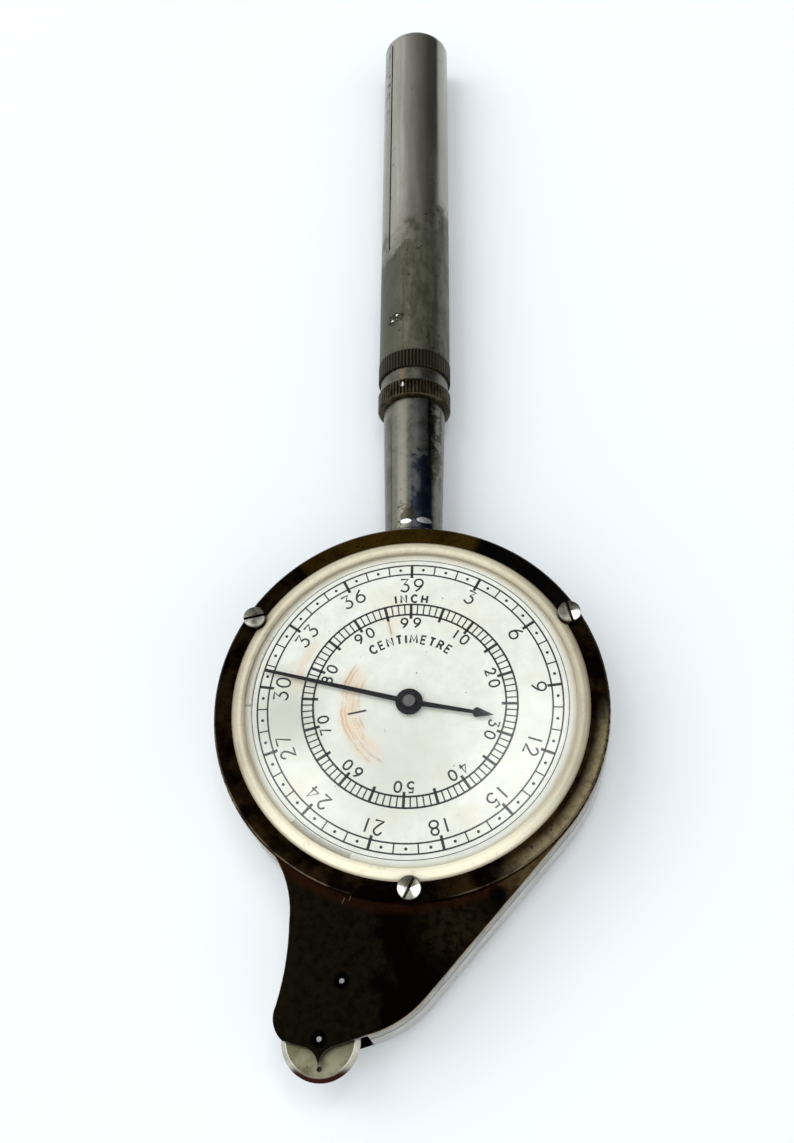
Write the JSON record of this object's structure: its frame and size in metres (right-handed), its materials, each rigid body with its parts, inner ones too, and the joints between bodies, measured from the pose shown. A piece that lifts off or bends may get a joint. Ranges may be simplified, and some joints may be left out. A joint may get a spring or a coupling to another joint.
{
  "type": "opisometer map measurer",
  "caption": "Opisometer with a round glazed dial, a pointed tail that holds the tracing wheel, a geared needle and a straight tubular handle that unscrews.",
  "frame": {"origin": "flat back face of the case, on the axis of the dial", "axes": "+Z out of the dial, +Y along the handle, +X to the right of the dial as it is read with the handle up"},
  "size_m": [0.0383, 0.1241, 0.0098],
  "materials": {
    "case_nickel": "nickel plated brass, bright with tarnish",
    "plate_brass": "brass with a dark brown patina",
    "bezel_brass": "brass with a dark brown patina, worn golden at its edges",
    "screw_steel": "turned steel screws",
    "crystal_glass": "clear domed crystal",
    "surround_card": "cream ring over the crystal's flange, yellowed",
    "dial_enamel": "off-white painted dial with black print",
    "train_brass": "plain brass",
    "stem_nickel": "bright nickel plate",
    "collar_nickel": "nickel plate, dark in the knurling",
    "handle_nickel": "worn nickel plate with an olive patina on the lower part",
    "cap_nickel": "worn nickel plate",
    "wheel_nickel": "nickel plated wheel, rusty at the rim",
    "arbor_steel": "polished steel",
    "needle_black": "blackened steel"
  },
  "bodies": {
    "case": {"rear_shell": "case_nickel", "front_shell": "plate_brass", "bezel_ring": "bezel_brass", "bezel_screws": "screw_steel", "crystal": "crystal_glass", "dial_surround": "surround_card", "dial_plate": "dial_enamel", "centre_bush": "train_brass", "case_pillars": "train_brass", "back_screws": "screw_steel", "stem_block": "train_brass", "stem_ferrule": "stem_nickel", "stem_collar": "collar_nickel", "handle_stud": "arbor_steel"},
    "handle": {"handle_tube": "handle_nickel", "handle_bush": "train_brass", "handle_end_cap": "cap_nickel"},
    "tracing": {"tracing_wheel": "wheel_nickel", "tracing_pinion": "arbor_steel", "tracing_arbor": "arbor_steel"},
    "second": {"second_wheel": "train_brass", "second_pinion": "arbor_steel", "second_arbor": "arbor_steel"},
    "idler": {"idler_wheel": "train_brass", "idler_arbor": "arbor_steel"},
    "centre": {"centre_wheel": "train_brass", "centre_arbor": "arbor_steel", "needle_collet": "arbor_steel", "needle": "needle_black"}
  },
  "joints": [
    {"name": "tracing_spin", "type": "hinge", "parent": "case", "child": "tracing", "pos_m": [-0.00772, -0.03057, 0.0053], "axis": [0, 0, 1], "continuous": true},
    {"name": "second_spin", "type": "hinge", "parent": "case", "child": "second", "pos_m": [-0.00587, -0.02569, 0.0034], "axis": [0, 0, 1], "continuous": true},
    {"name": "idler_spin", "type": "hinge", "parent": "case", "child": "idler", "pos_m": [-0.00175, -0.01837, 0.00175], "axis": [0, 0, 1], "continuous": true},
    {"name": "needle_spin", "type": "hinge", "parent": "case", "child": "centre", "pos_m": [0, 0, 0.0076], "axis": [0, 0, 1], "continuous": true},
    {"name": "handle_turn", "type": "hinge", "parent": "case", "child": "handle", "pos_m": [0, 0.0393, 0.0034], "axis": [0, 1, 0], "range_deg": [0, 900]}
  ],
  "couplings": [
    {"joint": "second_spin", "follows": "tracing_spin", "ratio": -0.20833},
    {"joint": "idler_spin", "follows": "tracing_spin", "ratio": 0.034722},
    {"joint": "needle_spin", "follows": "tracing_spin", "ratio": -0.022222}
  ]
}
